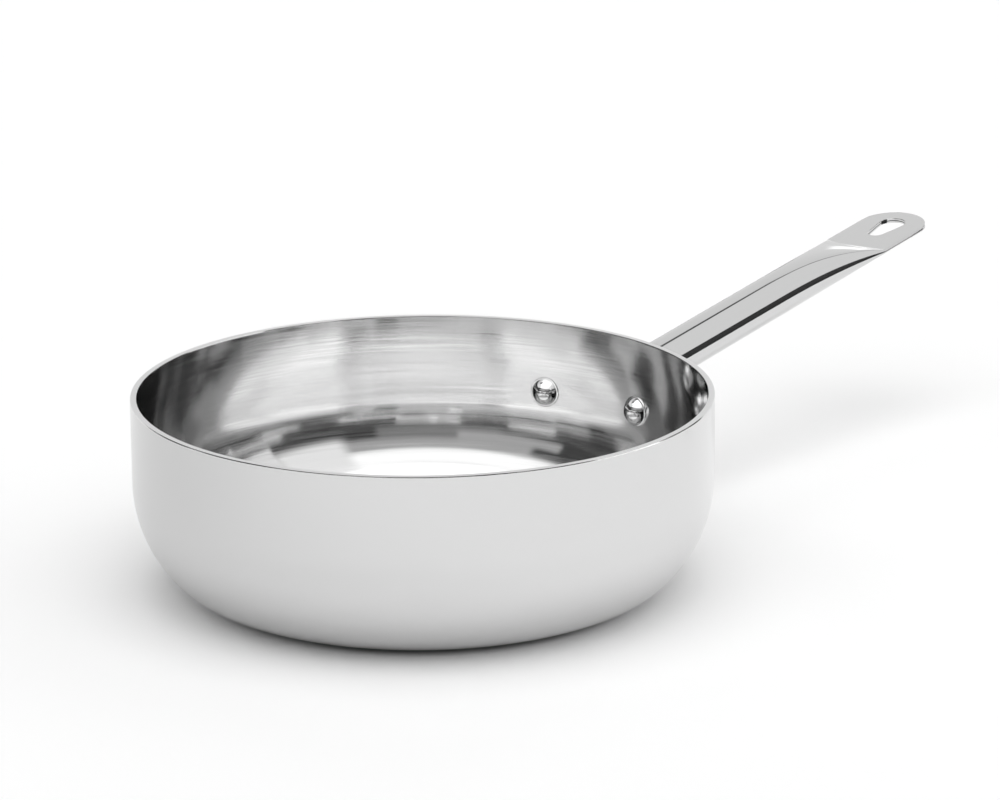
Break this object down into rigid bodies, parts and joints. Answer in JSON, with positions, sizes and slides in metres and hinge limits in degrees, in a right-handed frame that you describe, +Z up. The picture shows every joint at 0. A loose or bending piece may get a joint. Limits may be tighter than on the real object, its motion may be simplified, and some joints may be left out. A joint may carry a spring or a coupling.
{
  "type": "saucier pan",
  "caption": "Deep round clad saucier pan with curved corners, a flat base and one long riveted tube handle with a hanging slot.",
  "frame": {"origin": "centre of the flat base, on the surface that the pan stands on", "axes": "+Z up, +X along the handle away from the bowl, +Y square to both"},
  "size_m": [0.4961, 0.245, 0.0873],
  "materials": {
    "polished_outer_steel": "satin polished",
    "aluminium_core": "bare, seen only at the cut rim",
    "brushed_inner_steel": "fine brushed rings",
    "satin_bracket_steel": "satin",
    "polished_handle_steel": "polished",
    "weld_steel": "rippled weld, brushed clean",
    "mirror_rivet_steel": "mirror polished"
  },
  "bodies": {
    "root": {"outer_steel_ply": "polished_outer_steel", "aluminium_core_ply": "aluminium_core", "inner_steel_ply": "brushed_inner_steel", "handle_bracket": "satin_bracket_steel", "handle_tube": "polished_handle_steel", "handle_weld_bead": "weld_steel", "rivet_left": "mirror_rivet_steel", "rivet_right": "mirror_rivet_steel"}
  },
  "joints": []
}
